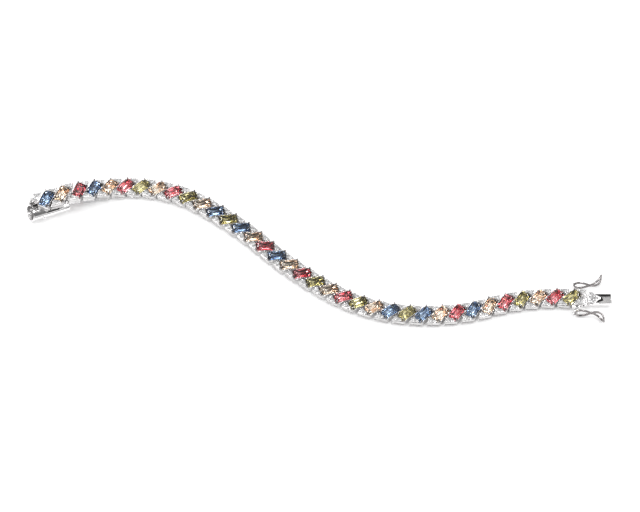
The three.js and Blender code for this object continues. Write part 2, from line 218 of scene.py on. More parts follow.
def outline_face(bm, points, z, rounding=0.0):
    """A flat face with this outline, with its corners rounded."""
    corners = [bm.verts.new((point[0], point[1], z)) for point in points]
    face = bm.faces.new(corners)
    if rounding:
        before = set(bm.faces)
        bmesh.ops.bevel(
            bm, geom=corners, offset=rounding, segments=3, profile=0.5,
            affect="VERTICES", material=-1,
        )
        face = next(item for item in bm.faces if item not in before or item is face)
    return face


def open_loop(bm, face):
    """Takes a face away and leaves its edges."""
    edges = list(face.edges)
    bmesh.ops.delete(bm, geom=[face], context="FACES_ONLY")
    return edges


def extrude_face(bm, face):
    """Extrudes a face. The old one stays only where it closes the bottom of a new solid."""
    is_base = all(edge.is_boundary for edge in face.edges)
    result = bmesh.ops.extrude_face_region(bm, geom=[face])
    if not is_base:
        bmesh.ops.delete(bm, geom=[face], context="FACES_ONLY")
    return result


def lift_face(bm, face, rise, scale_x=1.0, scale_y=1.0, centre=(0, 0, 0)):
    """Carries a face up, with new walls under it, and scales it about a centre."""
    result = extrude_face(bm, face)
    verts = made_of(result, bmesh.types.BMVert)
    bmesh.ops.translate(bm, verts=verts, vec=(0, 0, rise))
    space = Matrix.Translation(-Vector(centre))
    bmesh.ops.scale(bm, verts=verts, vec=(scale_x, scale_y, 1), space=space)
    return made_of(result, bmesh.types.BMFace)[0]


def lift_edges(bm, edges, rise, scale=1.0, centre=(0, 0, 0)):
    """Carries a loop of edges up, with new walls under it, and scales it about a centre."""
    result = bmesh.ops.extrude_edge_only(bm, edges=edges)
    verts = made_of(result, bmesh.types.BMVert)
    bmesh.ops.translate(bm, verts=verts, vec=(0, 0, rise))
    space = Matrix.Translation(-Vector(centre))
    bmesh.ops.scale(bm, verts=verts, vec=(scale, scale, 1), space=space)
    return made_of(result, bmesh.types.BMEdge)


def facet_rings(bm, outline, rings):
    """A closed solid that grows from ring to ring of an outline."""
    first = rings[0]
    points = [(x * first["length"], y * first["width"]) for x, y in outline]
    face = outline_face(bm, points, first["z"])
    for lower, upper in zip(rings, rings[1:]):
        face = lift_face(
            bm, face, upper["z"] - lower["z"],
            upper["length"] / lower["length"], upper["width"] / lower["width"],
        )


def slab(bm, points, bottom, top, edge=0.06):
    """A plate with this outline and softened edges."""
    before = set(bm.edges)
    face = outline_face(bm, points, bottom)
    lift_face(bm, face, top - bottom)
    soften(bm, [item for item in bm.edges if item not in before], edge)


def soften(bm, edges, width):
    bmesh.ops.bevel(
        bm, geom=edges, offset=width, segments=2, profile=0.5, affect="EDGES", material=-1,
    )


def box_points(left, right, front, back):
    return [(left, front), (right, front), (right, back), (left, back)]


def sweep_frames(path):
    """A frame at each point of a path, with Z along it, turned as little as it can be."""
    points = [Vector(point) for point in path]
    turn = (points[1] - points[0]).to_track_quat("Z", "X")
    frames = []
    for index, point in enumerate(points):
        ahead = points[min(index + 1, len(points) - 1)] - points[max(index - 1, 0)]
        turn = (turn @ UP).rotation_difference(ahead) @ turn
        frames.append(Matrix.Translation(point) @ turn.to_matrix().to_4x4())
    return frames


def sweep(bm, path, radii, sides):
    """A round bar along a path, closed at both ends."""
    frames = sweep_frames(path)
    circle = bmesh.ops.create_circle(
        bm, cap_ends=True, segments=sides, radius=radii[0], matrix=frames[0],
    )
    face = circle["verts"][0].link_faces[0]
    for index in range(1, len(frames)):
        result = extrude_face(bm, face)
        verts = made_of(result, bmesh.types.BMVert)
        grow = Matrix.Scale(radii[index] / radii[index - 1], 4)
        step = frames[index] @ grow @ frames[index - 1].inverted()
        bmesh.ops.transform(bm, matrix=step, verts=verts)
        face = made_of(result, bmesh.types.BMFace)[0]


def ball(bm, place, radius, around=16, rows=10):
    bmesh.ops.create_uvsphere(
        bm, u_segments=around, v_segments=rows, radius=radius, matrix=Matrix.Translation(place),
    )


def pin(bm, start, end, radius, sides=16, edge=0.04):
    """A straight pin. One end or both are softened, as the first and last vertex fall."""
    start, end = Vector(start), Vector(end)
    turn = (end - start).to_track_quat("Z", "X").to_matrix().to_4x4()
    made = bmesh.ops.create_cone(
        bm, cap_ends=True, segments=sides, radius1=radius, radius2=radius,
        depth=(end - start).length, matrix=Matrix.Translation((start + end) / 2) @ turn,
    )
    caps = [face for face in made["verts"][0].link_faces if len(face.verts) == sides]
    caps += [face for face in made["verts"][-1].link_faces if len(face.verts) == sides]
    rims = dict.fromkeys(item for face in caps for item in face.edges)
    soften(bm, list(rims), edge)


def ring(bm, centre, axis, radius, wire, steps=24):
    """A round wire ring."""
    centre, axis = Vector(centre), Vector(axis).normalized()
    out = axis.orthogonal().normalized()
    turn = out.cross(axis).to_track_quat("Z", "Y").to_matrix().to_4x4()
    made = bmesh.ops.create_circle(
        bm, cap_ends=False, segments=10, radius=wire,
        matrix=Matrix.Translation(centre + out * radius) @ turn,
    )
    edges = list(dict.fromkeys(item for vert in made["verts"] for item in vert.link_edges))
    bmesh.ops.spin(
        bm, geom=made["verts"] + edges, cent=centre, axis=axis, angle=2 * math.pi,
        steps=steps, use_merge=True,
    )


def as_mesh(build, *values):
    """A mesh of one part, kept to be copied into the pieces."""
    bm = bmesh.new()
    build(bm, *values)
    bmesh.ops.recalc_face_normals(bm, faces=bm.faces)
    mesh = bpy.data.meshes.new(build.__name__)
    bm.to_mesh(mesh)
    bm.free()
    return mesh


def copy_in(bm, mesh, matrix, finish):
    """Adds a copy of a part to a piece, at its place, with the piece's finish of that number."""
    counts = len(bm.verts), len(bm.faces)
    bm.from_mesh(mesh)
    bm.verts.ensure_lookup_table()
    bm.faces.ensure_lookup_table()
    bmesh.ops.transform(bm, matrix=matrix, verts=bm.verts[counts[0]:])
    for face in bm.faces[counts[1]:]:
        face.material_index += finish


def piece(name, parts, materials, smooth_angle=None):
    """One piece of the bracelet from parts and their places in the row frame."""
    bm = bmesh.new()
    for mesh, matrix, *finish in parts:
        copy_in(bm, mesh, matrix, *(finish or [0]))
    mesh = bpy.data.meshes.new(name)
    bm.to_mesh(mesh)
    bm.free()
    for material in materials:
        mesh.materials.append(material)
    if smooth_angle is not None:
        mesh.shade_smooth()
        mesh.set_sharp_from_angle(angle=math.radians(smooth_angle))
    made = bpy.data.objects.new(name, mesh)
    bpy.context.scene.collection.objects.link(made)
    return made


# ---- the frames of the links ----

def link_frame(node):
    """The frame of the link under a coloured stone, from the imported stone's own shape."""
    corners = np.unique(np.round([v.co for v in node.data.vertices], 7), axis=0)
    middle = corners.mean(axis=0)
    axes = [Vector(axis) for axis in np.linalg.eigh(np.cov((corners - middle).T))[1].T]
    along = axes[2] if axes[2].x > 0 else -axes[2]
    up = max(axes[:2], key=lambda axis: abs(axis.z))
    up = up if up.z > 0 else -up
    top = max((corners - middle) @ np.array(up))
    x_axis = Matrix.Rotation(-SLANT, 3, up) @ along
    turn = Matrix((x_axis, up.cross(x_axis), up)).transposed()
    origin = Vector(middle) + up * (top - STONE_TOP * MM)
    return Matrix.Translation(origin) @ turn.to_4x4() @ Matrix.Scale(MM, 4)


stone_names = sorted(name for name in frame["nodes"] if name.startswith("stone_"))
links = [link_frame(frame["nodes"][name]) for name in stone_names]
stone_slots = {row["node"]: row["material_slot"] for row in frame["record"]["subparts"]}


# ---- materials ----

def effect_group(name, inputs, outputs):
    """An empty shader group with named sockets, its input node and its output node."""
    group = bpy.data.node_groups.new(name, "ShaderNodeTree")
    for label, kind, value in inputs:
        socket = group.interface.new_socket(label, in_out="INPUT", socket_type=kind)
        socket.default_value = value
    for label, kind in outputs:
        group.interface.new_socket(label, in_out="OUTPUT", socket_type=kind)
    return group, group.nodes.new("NodeGroupInput"), group.nodes.new("NodeGroupOutput")


def polish_group():
    """The finish of handled silver: soft cloudy patches and fine straight rubbing marks."""
    group, source, result = effect_group(
        "silver_polish",
        [
            ("Patch Scale", "NodeSocketFloat", 500.0),
            ("Line Scale", "NodeSocketFloat", 4000.0),
            ("Clean Roughness", "NodeSocketFloat", 0.1),
            ("Worn Roughness", "NodeSocketFloat", 0.25),
            ("Clean Colour", "NodeSocketColor", (0.9, 0.9, 0.9, 1)),
            ("Worn Colour", "NodeSocketColor", (0.7, 0.7, 0.7, 1)),
        ],
        [
            ("Colour", "NodeSocketColor"),
            ("Roughness", "NodeSocketFloat"),
            ("Height", "NodeSocketFloat"),
        ],
    )
    nodes, link = group.nodes, group.links.new
    place = nodes.new("ShaderNodeTexCoord").outputs["Object"]
    patches = nodes.new("ShaderNodeTexNoise")
    patches.inputs["Detail"].default_value = 3
    link(place, patches.inputs["Vector"])
    link(source.outputs["Patch Scale"], patches.inputs["Scale"])
    stretch = nodes.new("ShaderNodeMapping")
    stretch.inputs["Scale"].default_value = (0.12, 1.0, 0.5)
    link(place, stretch.inputs["Vector"])
    marks = nodes.new("ShaderNodeTexNoise")
    marks.inputs["Detail"].default_value = 2
    link(stretch.outputs["Vector"], marks.inputs["Vector"])
    link(source.outputs["Line Scale"], marks.inputs["Scale"])
    worn = nodes.new("ShaderNodeMapRange")
    worn.inputs["From Min"].default_value = 0.35
    worn.inputs["From Max"].default_value = 0.7
    link(patches.outputs["Fac"], worn.inputs["Value"])
    gloss = nodes.new("ShaderNodeMix")
    link(worn.outputs["Result"], gloss.inputs["Factor"])
    link(source.outputs["Clean Roughness"], gloss.inputs["A"])
    link(source.outputs["Worn Roughness"], gloss.inputs["B"])
    tint = nodes.new("ShaderNodeMix")
    tint.data_type = "RGBA"
    link(worn.outputs["Result"], tint.inputs["Factor"])
    link(source.outputs["Clean Colour"], tint.inputs["A"])
    link(source.outputs["Worn Colour"], tint.inputs["B"])
    link(tint.outputs["Result"], result.inputs["Colour"])
    link(gloss.outputs["Result"], result.inputs["Roughness"])
    link(marks.outputs["Fac"], result.inputs["Height"])
    return group


def stone_group():
    """A cut stone's tint with painted light and shade: each facet is drawn lighter or deeper, in place of the
    light and dark a real stone throws back.
    """
    group, source, result = effect_group(
        "stone_painted_facet_colour",
        [
            ("Light", "NodeSocketColor", (1, 1, 1, 1)),
            ("Deep", "NodeSocketColor", (0.5, 0.5, 0.5, 1)),
            ("Cloud Scale", "NodeSocketFloat", 700.0),
            ("Cloud Share", "NodeSocketFloat", 4.0),
        ],
        [("Colour", "NodeSocketColor")],
    )
    nodes, link = group.nodes, group.links.new
    clouds = nodes.new("ShaderNodeTexNoise")
    clouds.inputs["Detail"].default_value = 1
    link(nodes.new("ShaderNodeTexCoord").outputs["Object"], clouds.inputs["Vector"])
    link(source.outputs["Cloud Scale"], clouds.inputs["Scale"])
    facet = nodes.new("ShaderNodeAttribute")
    facet.attribute_name = "facet_painted_shade"
    depth = nodes.new("ShaderNodeMath")
    depth.operation = "MULTIPLY_ADD"
    depth.use_clamp = True
    link(source.outputs["Cloud Share"], depth.inputs[1])
    link(clouds.outputs["Fac"], depth.inputs[0])
    link(facet.outputs["Fac"], depth.inputs[2])
    tint = nodes.new("ShaderNodeMix")
    tint.data_type = "RGBA"
    link(depth.outputs["Value"], tint.inputs["Factor"])
    link(source.outputs["Light"], tint.inputs["A"])
    link(source.outputs["Deep"], tint.inputs["B"])
    link(tint.outputs["Result"], result.inputs["Colour"])
    return group


def new_material(name):
    material = bpy.data.materials.new(name)
    material.use_nodes = True
    return material, material.node_tree.nodes, material.node_tree.links.new


def silver_material(name, values, bump):
    """A silver with its own values in the polish group, and a bump for the rubbing marks."""
    material, nodes, link = new_material(name)
    shader = nodes["Principled BSDF"]
    shader.inputs["Metallic"].default_value = 1.0
    finish = nodes.new("ShaderNodeGroup")
    finish.node_tree = polish
    for label, value in values.items():
        finish.inputs[label].default_value = value
    link(finish.outputs["Colour"], shader.inputs["Base Color"])
    link(finish.outputs["Roughness"], shader.inputs["Roughness"])
    marks = nodes.new("ShaderNodeBump")
    marks.inputs["Strength"].default_value = bump
    marks.inputs["Distance"].default_value = 0.02 * MM
    link(finish.outputs["Height"], marks.inputs["Height"])
    link(marks.outputs["Normal"], shader.inputs["Normal"])
    return material


def stone_material(name, light, deep, **settings):
    """One of a stone's two finishes: the clear crown, or the mirror bright facets under it."""
    material, nodes, link = new_material(name)
    shader = nodes["Principled BSDF"]
    for label, value in settings.items():
        shader.inputs[label.replace("_", " ")].default_value = value
    colour = nodes.new("ShaderNodeGroup")
    colour.node_tree = stone_painted_facet_colour
    colour.inputs["Light"].default_value = (*light, 1)
    colour.inputs["Deep"].default_value = (*deep, 1)
    link(colour.outputs["Colour"], shader.inputs["Base Color"])
    return material


def stone_finishes(name, light, deep, mirror=1.0):
    """The finishes of a stone's crown, in a paler tint, and of the facets under its girdle, both with painted
    light and shade on each facet.
    """
    white, pale_share = 1 - CROWN_TINT, 1 - CROWN_DEPTH
    crown_light = [CROWN_TINT * value + white for value in light]
    crown_deep = [pale_share * pale + CROWN_DEPTH * dark for pale, dark in zip(light, deep)]
    crown = stone_material(
        f"{name}_crown", crown_light, crown_deep, Roughness=0.02, IOR=1.55,
        Transmission_Weight=1.0,
    )
    facets = stone_material(f"{name}_facets", light, deep, Roughness=0.04, Metallic=mirror)
    return [crown, facets]


CROWN_TINT = 0.4
CROWN_DEPTH = 0.3
polish = polish_group()
stone_painted_facet_colour = stone_group()
silver = silver_material(
    "polished_silver",
    {"Clean Roughness": 0.07, "Worn Roughness": 0.16, "Clean Colour": (0.97, 0.96, 0.96, 1),
     "Worn Colour": (0.86, 0.85, 0.85, 1)},
    bump=0.15,
)
# Silver painted dark grey as painted shade: the claws and the safety catch wires take it where real polished
# silver is only shaded and mirrors dark surroundings.
shade_darkened_silver = silver_material(
    "shade_darkened_silver",
    {"Clean Roughness": 0.1, "Worn Roughness": 0.2, "Clean Colour": (0.42, 0.4, 0.4, 1),
     "Worn Colour": (0.26, 0.24, 0.24, 1)},
    bump=0.15,
)
satin_silver = silver_material(
    "satin_silver",
    {"Clean Roughness": 0.2, "Worn Roughness": 0.36, "Clean Colour": (0.72, 0.71, 0.71, 1),
     "Worn Colour": (0.58, 0.57, 0.57, 1), "Line Scale": 9000.0},
    bump=0.5,
)
# Near-black silver that paints shade and dark reflection: in the tube's groove, on the tray's far wall and on the
# patch under the thumb plate's tip.
painted_shade_black = silver_material(
    "painted_shade_black_recess",
    {"Clean Roughness": 0.5, "Worn Roughness": 0.7, "Clean Colour": (0.06, 0.06, 0.06, 1),
     "Worn Colour": (0.02, 0.02, 0.02, 1)},
    bump=0.3,
)
LINK_METALS = [silver, shade_darkened_silver, satin_silver]
CLAW_PAINTED_SHADE = LINK_METALS.index(shade_darkened_silver)
WALL_FINISH = LINK_METALS.index(satin_silver)
CLASP_METALS = LINK_METALS + [painted_shade_black]
RECESS_PAINTED_SHADE = CLASP_METALS.index(painted_shade_black)
TONGUE_METALS = [silver, painted_shade_black, satin_silver]
TRAY_PAINTED_SHADE = TONGUE_METALS.index(painted_shade_black)
TRAY_SATIN = TONGUE_METALS.index(satin_silver)
METAL_SMOOTH_ANGLE = 35
WIRE_SMOOTH_ANGLE = 60

# Each stone has two finishes, its crown's and then its lower facets'.
FACET_FINISH = 1
# Each stone's light and deep colours are its lit and shaded tints; the facets mix them as painted light and shade.
stone_materials = {
    "blue_stone": stone_finishes("blue_gem", (0.66, 0.77, 0.90), (0.15, 0.21, 0.33)),
    "peach_stone": stone_finishes("peach_gem", (1.0, 0.96, 0.89), (0.86, 0.60, 0.43)),
    "red_stone": stone_finishes("red_gem", (1.0, 0.64, 0.66), (0.58, 0.10, 0.13)),
    "green_stone": stone_finishes("green_gem", (0.95, 0.91, 0.66), (0.34, 0.30, 0.14)),
    "clear_stone": stone_finishes("clear_gem", (1.0, 1.0, 1.0), (0.97, 0.97, 0.98), 0.0),
}


# ---- coloured stones ----

def gem(bm):
    """A step cut octagon: rows of facets under the girdle and over it, and a table on top."""
    outline = octagon(**GEM_OUTLINE)
    facet_rings(bm, outline, GEM_RINGS)
    lower = finish_facets(bm, GIRDLE_BOTTOM - 0.02)
    bmesh.ops.recalc_face_normals(bm, faces=bm.faces)
    bmesh.ops.poke(bm, faces=lower, offset=FACET_POKE)
    bmesh.ops.rotate(bm, verts=bm.verts, matrix=Matrix.Rotation(SLANT, 3, "Z"))


def finish_facets(bm, height):
    """Gives the facets under a height their own finish."""
    lower = [face for face in bm.faces if face.calc_center_median().z < height]
    for face in lower:
        face.material_index = FACET_FINISH
    return lower


def round_stone(bm, centre, radius):
    """A small round stone with its girdle in the pad."""
    first = CLEAR_RINGS[0]
    made = bmesh.ops.create_circle(
        bm, cap_ends=True, segments=CLEAR_SIDES, radius=radius * first["share"],
        matrix=Matrix.Translation(centre + UP * (CLEAR_GIRDLE_Z + radius * first["z"]))
        @ Matrix.Rotation(CLEAR_TURN, 4, "Z"),
    )
    face = made["verts"][0].link_faces[0]
    for lower, upper in zip(CLEAR_RINGS, CLEAR_RINGS[1:]):
        share = upper["share"] / lower["share"]
        face = lift_face(bm, face, radius * (upper["z"] - lower["z"]), share, share, centre)
    finish_facets(bm, CLEAR_GIRDLE_Z - 0.06 * radius)


def clear_pair(bm):
    for row in CLEAR_STONES:
        round_stone(bm, slanted(row["along"], row["across"]), row["radius"])


def shade_facets(made, seed, frame_matrix=None):
    """Gives each facet its own share of painted shade, in place of the light and dark a cut stone throws back, and
    more of it toward a stone's far end.

    The operators can hand over the facets in another order on another run, so which facet gets
    which of the seeded draws isn't the same each time.
    """
    mesh = made.data
    draw = np.random.default_rng(seed)
    values = np.repeat(draw.uniform(*FACET_PAINTED_SHADE_RANGE, len(mesh.polygons)),
                       [face.loop_total for face in mesh.polygons])
    if frame_matrix:
        to_link = frame_matrix.inverted()
        along = [(to_link @ vert.co).dot(slanted(1, 0)) for vert in mesh.vertices]
        corners = [along[loop.vertex_index] for loop in mesh.loops]
        values += FAR_END_PAINTED_SHADE * np.array(corners) / GEM_OUTLINE["half_length"]
    depth = mesh.attributes.new("facet_painted_shade", "FLOAT", "CORNER")
    depth.data.foreach_set("value", values)


gem_mesh = as_mesh(gem)
for index, (name, matrix) in enumerate(zip(stone_names, links)):
    slot = stone_slots[name]
    gem_piece = piece(name.replace("stone", "gem"), [(gem_mesh, matrix)], stone_materials[slot])
    shade_facets(gem_piece, index, matrix)
    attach(gem_piece, "chain")
    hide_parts(name)


# ---- the metal of a link ----

def link_half_outline(with_pad):
    """Half of a link's outline in its X and Y; the other half is the same, turned half round."""
    pivot = PITCH * math.cos(SLANT) / 2
    pad_side = LINK_SIDE - (PAD["reach"] - pivot) * math.tan(PAD_RELIEF)
    pad_edge = (STRIP_HALF_WIDTH - PAD["reach"] * math.sin(SLANT)) / math.cos(SLANT)
    pad = [
        slanted(pivot, -LINK_SIDE),
        slanted(PAD["reach"], -pad_side),
        slanted(PAD["reach"], pad_edge),
    ]
    cut_start, reach = PLAIN_END["cut_start"], PLAIN_END["reach"]
    half_width = PLAIN_END["half_width"]
    plain_end = [slanted(cut_start, -LINK_SIDE), slanted(reach, -half_width)]
    corner = [slanted(reach, half_width), slanted(cut_start, LINK_SIDE)]
    return (pad if with_pad else plain_end) + corner


def body_outline(with_left_pad):
    return link_half_outline(True) + [-point for point in link_half_outline(with_left_pad)]


def pad_outline():
    corner, edge = link_half_outline(True)[1:3]
    inset = PAD["inset"]
    return [
        slanted(PAD["start"], PAD["inner"]),
        corner + slanted(-inset, inset),
        edge + slanted(-inset, -inset),
        slanted(PAD["start"], PAD["outer"]),
    ]


def round_hole(bm, centre, radius, z):
    """The rim of a round hole, to be filled round and lifted."""
    made = bmesh.ops.create_circle(
        bm, cap_ends=True, segments=12, radius=radius,
        matrix=Matrix.Translation((centre.x, centre.y, z)),
    )
    return open_loop(bm, made["verts"][0].link_faces[0])


def link_body(bm, with_left_pad=True):
    """The gallery under a stone: a two-rail wall with an open bore and drilled pads."""
    first = BODY_LEVELS[0]
    outer = open_loop(bm, outline_face(bm, body_outline(with_left_pad), 0, BODY_ROUNDING))
    verts = list(dict.fromkeys(vert for edge in outer for vert in edge.verts))
    bmesh.ops.scale(bm, verts=verts, vec=(first["share"], first["share"], 1))
    bore_points = [slanted(x, y) for x, y in octagon(**BORE)]
    inner = open_loop(bm, outline_face(bm, bore_points, 0))
    for side in (1, -1) if with_left_pad else (1,):
        for row in CLEAR_STONES:
            centre = slanted(row["along"], row["across"]) * side
            inner += round_hole(bm, centre, row["radius"] * BODY_DRILL_SHARE, 0)
    bmesh.ops.triangle_fill(bm, use_beauty=True, edges=outer + inner)
    for lower, upper in zip(BODY_LEVELS, BODY_LEVELS[1:]):
        outer = lift_edges(bm, outer, upper["z"] - lower["z"], upper["share"] / lower["share"])
    inner = lift_edges(bm, inner, BODY_TOP)
    bmesh.ops.triangle_fill(bm, use_beauty=True, edges=outer + inner)


def pad(bm, outline, stones, beads, bottom):
    """A raised plate drilled for small clear stones, with the beads that hold them."""
    top, chamfer = PAD["top"], PAD["chamfer"]
    centre = sum(outline, Vector((0, 0, 0))) / len(outline)
    outer = open_loop(bm, outline_face(bm, outline, bottom, PAD["rounding"]))
    inner = []
    for place, radius in stones:
        inner += round_hole(bm, place, radius * PAD["drill_share"], bottom)
    bmesh.ops.triangle_fill(bm, use_beauty=True, edges=outer + inner)
    outer = lift_edges(bm, outer, top - bottom - chamfer)
    outer = lift_edges(bm, outer, chamfer, PAD["top_share"], centre)
    inner = lift_edges(bm, inner, top - bottom)
    bmesh.ops.triangle_fill(bm, use_beauty=True, edges=outer + inner)
    for (place, radius), angles in zip(stones, beads):
        for angle in angles:
            turn = math.radians(angle)
            spot = place + Vector((math.cos(turn), math.sin(turn), 0)) * (radius + BEAD["gap"])
            ball(bm, (spot.x, spot.y, top + BEAD["rise"]), BEAD["radius"], around=8, rows=4)


def clear_stone_places():
    return [(slanted(row["along"], row["across"]), row["radius"]) for row in CLEAR_STONES]


def side_pad(bm):
    """The pad at a link's right end."""
    pad(bm, pad_outline(), clear_stone_places(), CLEAR_BEADS, BODY_TOP - PAD["sink"])


def claws(bm):
    """Four claws that come up at the stone's cut corners and bend over them."""
    corner_x = GEM_OUTLINE["half_length"] - GEM_OUTLINE["corner"] / 2
    corner_y = GEM_OUTLINE["half_width"] - GEM_OUTLINE["corner"] / 2
    reach = math.sqrt(0.5)
    for sx, sy in ((1, 1), (1, -1), (-1, 1), (-1, -1)):
        path = []
        for row in CLAW_PATH:
            out = row["out"] * reach
            spot = slanted(sx * (corner_x + out), sy * (corner_y + out))
            path.append((spot.x, spot.y, row["z"]))
        radii = [CLAW_RADIUS] * (len(path) - 1) + [CLAW_TIP_RADIUS]
        sweep(bm, path, radii, sides=8)


def rails(bm):
    """The thin upright rails along the stone's two long sides."""
    half = RAIL["half_length"]
    for side in (1, -1):
        points = box_points(-half, half, RAIL["inner"], RAIL["outer"])
        turned = [slanted(x, y) * side for x, y in points]
        slab(bm, turned, RAIL["bottom"], RAIL["top"], edge=0.02)


def neck(bm):
    """The short bar to the next link, with the pin that it turns on."""
    middle = PITCH / 2
    half, width = NECK["half_length"], NECK["half_width"]
    pin_end = width + NECK["pin_past"]
    points = box_points(middle - half, middle + half, -width, width)
    slab(bm, points, NECK["bottom"], NECK["top"], edge=0.1)
    z = (NECK["bottom"] + NECK["top"]) / 2
    pin(bm, (middle, -pin_end, z), (middle, pin_end, z), NECK["pin_radius"])


body_mesh = as_mesh(link_body)
bare_left_body_mesh = as_mesh(link_body, False)
pad_mesh = as_mesh(side_pad)
claws_mesh = as_mesh(claws)
rails_mesh = as_mesh(rails)
neck_mesh = as_mesh(neck)
clear_mesh = as_mesh(clear_pair)
HALF_TURN = Matrix.Rotation(math.pi, 4, "Z")


def setting(matrix, with_neck=True):
    """The parts of a whole link and their places."""
    # The claws take the darkened silver, a painted shade on them.
    parts = [
        (body_mesh, matrix, WALL_FINISH), (pad_mesh, matrix), (pad_mesh, matrix @ HALF_TURN),
        (rails_mesh, matrix), (claws_mesh, matrix, CLAW_PAINTED_SHADE),
    ]
    return parts + ([(neck_mesh, matrix, WALL_FINISH)] if with_neck else [])


def clear_stones(matrix):
    return [(clear_mesh, matrix), (clear_mesh, matrix @ HALF_TURN)]


def finish_piece(made, body, slot, *nodes):
    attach(made, body)
    if nodes:
        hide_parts(*nodes)


# ---- the end past the last stone ----

def end_pad(bm):
    """The square-ended pad beside the last coloured stone."""
    outline = [Vector((x, y, 0)) for x, y in END_PAD_OUTLINE]
    stones = [(Vector((x, y, 0)), radius) for x, y, radius in END_PAD_STONES]
    pad(bm, outline, stones, END_PAD_BEADS, 0)


def end_pad_stones(bm):
    for x, y, radius in END_PAD_STONES:
        round_stone(bm, Vector((x, y, 0)), radius)


def end_fittings(bm):
    """The two cheeks and the pin of the tongue's hinge, and the lugs of the safety catches."""
    x, z, radius = KNUCKLE["x"], KNUCKLE["z"], KNUCKLE["radius"]
    inner, outer = KNUCKLE["side_inner"], KNUCKLE["side_outer"]
    half_height = KNUCKLE["half_height"]
    for side in (1, -1):
        pin(bm, (x, side * inner, z), (x, side * outer, z), radius, sides=28, edge=0.07)
        front, back = sorted((side * inner, side * outer))
        points = box_points(KNUCKLE["left"], x, front, back)
        slab(bm, points, z - half_height, z + half_height)
        head = Vector((x, side * outer, z))
        tip = head + Vector((0, side * KNUCKLE["head_height"], 0))
        pin(bm, head, tip, KNUCKLE["head_radius"], edge=0.06)
        lug = [
            (LUG["foot_left"], side * LUG["foot_across"]),
            (LUG["foot_right"], side * LUG["foot_across"]),
            (CATCH["hinge_x"] + LUG["half_tip"], side * LUG["tip_across"]),
            (CATCH["hinge_x"] - LUG["half_tip"], side * LUG["tip_across"]),
        ]
        middle_z = CATCH["middle_z"]
        slab(bm, lug, middle_z - LUG["half_height"], middle_z + LUG["half_height"], edge=0.1)
        eye = (CATCH["hinge_x"], side * CATCH["across"], middle_z)
        ring(bm, eye, UP, EYE["radius"], EYE["wire"])
    pin(bm, (x, -outer, z), (x, outer, z), KNUCKLE["pin_radius"])
    slab(bm, box_points(**END_DECK["outline"]), 0, END_DECK["top"])


def tongue_head(bm):
    """The tongue's knuckle, arm and head, with a pointed thumb plate over the tray."""
    x, z, half = KNUCKLE["x"], KNUCKLE["z"], KNUCKLE["middle_half_width"]
    pin(bm, (x, -half, z), (x, half, z), KNUCKLE["radius"], sides=28, edge=0.07)
    arm = HEAD["arm_half_height"]
    slab(bm, box_points(x, HEAD["arm_right"], -half, half), z - arm, z + arm)
    outline = [(HEAD["left"] + HEAD["hollow"] * (y / HEAD["half_width"]) ** 2, y)
               for y in np.linspace(HEAD["half_width"], -HEAD["half_width"], 9)]
    outline += [(HEAD["shoulder"], -HEAD["half_width"]), (HEAD["tip"], -HEAD["tip_half_width"])]
    outline += [(HEAD["tip"], HEAD["tip_half_width"]), (HEAD["shoulder"], HEAD["half_width"])]
    slab(bm, outline, HEAD["bottom"], HEAD["deck"])
    stones = [(Vector((x, y, 0)), radius) for x, y, radius in HEAD_STONES]
    top_outline = [Vector((x, y, 0)) for x, y in HEAD_PAD_OUTLINE]
    pad(bm, top_outline, stones, HEAD_BEADS, HEAD["deck"] - PAD["sink"])
    slab(bm, THUMB_OUTLINE, THUMB["bottom"], THUMB["top"], edge=0.08)


def head_stones(bm):
    for x, y, radius in HEAD_STONES:
        round_stone(bm, Vector((x, y, 0)), radius)


def tongue_tray(bm):
    """The spring leaf's tray: a satin floor, a far wall painted near black as shade and dark reflection, and a
    thin near-black plate on the floor by the thumb plate, a painted shadow under its tip.
    """
    half = TRAY["half_width"]
    face = outline_face(bm, box_points(TRAY["left"], TRAY["right"], -half, half), TRAY["bottom"])
    face = lift_face(bm, face, TRAY["top"] - TRAY["bottom"])
    rim = list(face.edges)
    sides = [item for item in bm.edges if abs((item.verts[0].co - item.verts[1].co).z) > 0.5]
    soften(bm, rim + sides, TRAY["rounding"])
    face = max(bm.faces, key=lambda item: (
        item.calc_center_median().z > TRAY["top"] - 0.01) * item.calc_area())
    bmesh.ops.inset_region(bm, faces=[face], thickness=TRAY["wall"] - TRAY["rounding"])
    floor = lift_face(bm, face, TRAY["floor"] - TRAY["top"])
    floor.material_index = TRAY_SATIN
    far_wall = max(
        (edge.link_faces for edge in floor.edges),
        key=lambda faces: max(item.calc_center_median().y for item in faces),
    )
    # The far wall's inner face is painted near black, painted shade and dark reflection.
    for item in far_wall:
        if item is not floor:
            item.material_index = TRAY_PAINTED_SHADE
    # A thin near-black plate on the tray floor by the thumb plate's tip: a painted shadow.
    before = set(bm.faces)
    slab(bm, TRAY_SHADOW_PATCH_OUTLINE, TRAY["shadow_patch_bottom"], TRAY["shadow_patch_top"], edge=0.01)
    for item in set(bm.faces) - before:
        item.material_index = TRAY_PAINTED_SHADE


def catch_point(distance, height, side):
    """A point of a catch's wire: straight past the hinge, then bending outward."""
    straight = min(distance, CATCH["waist"])
    turn = max(0.0, distance - CATCH["waist"]) / CATCH["bend_radius"]
    rise = CATCH["tip_rise"] * turn / math.radians(CATCH["bend_turn"])
    return Vector((
        CATCH["hinge_x"] + straight + CATCH["bend_radius"] * math.sin(turn),
        side * (CATCH["across"] + CATCH["bend_radius"] * (1 - math.cos(turn))),
        CATCH["middle_z"] + rise + height,
    ))


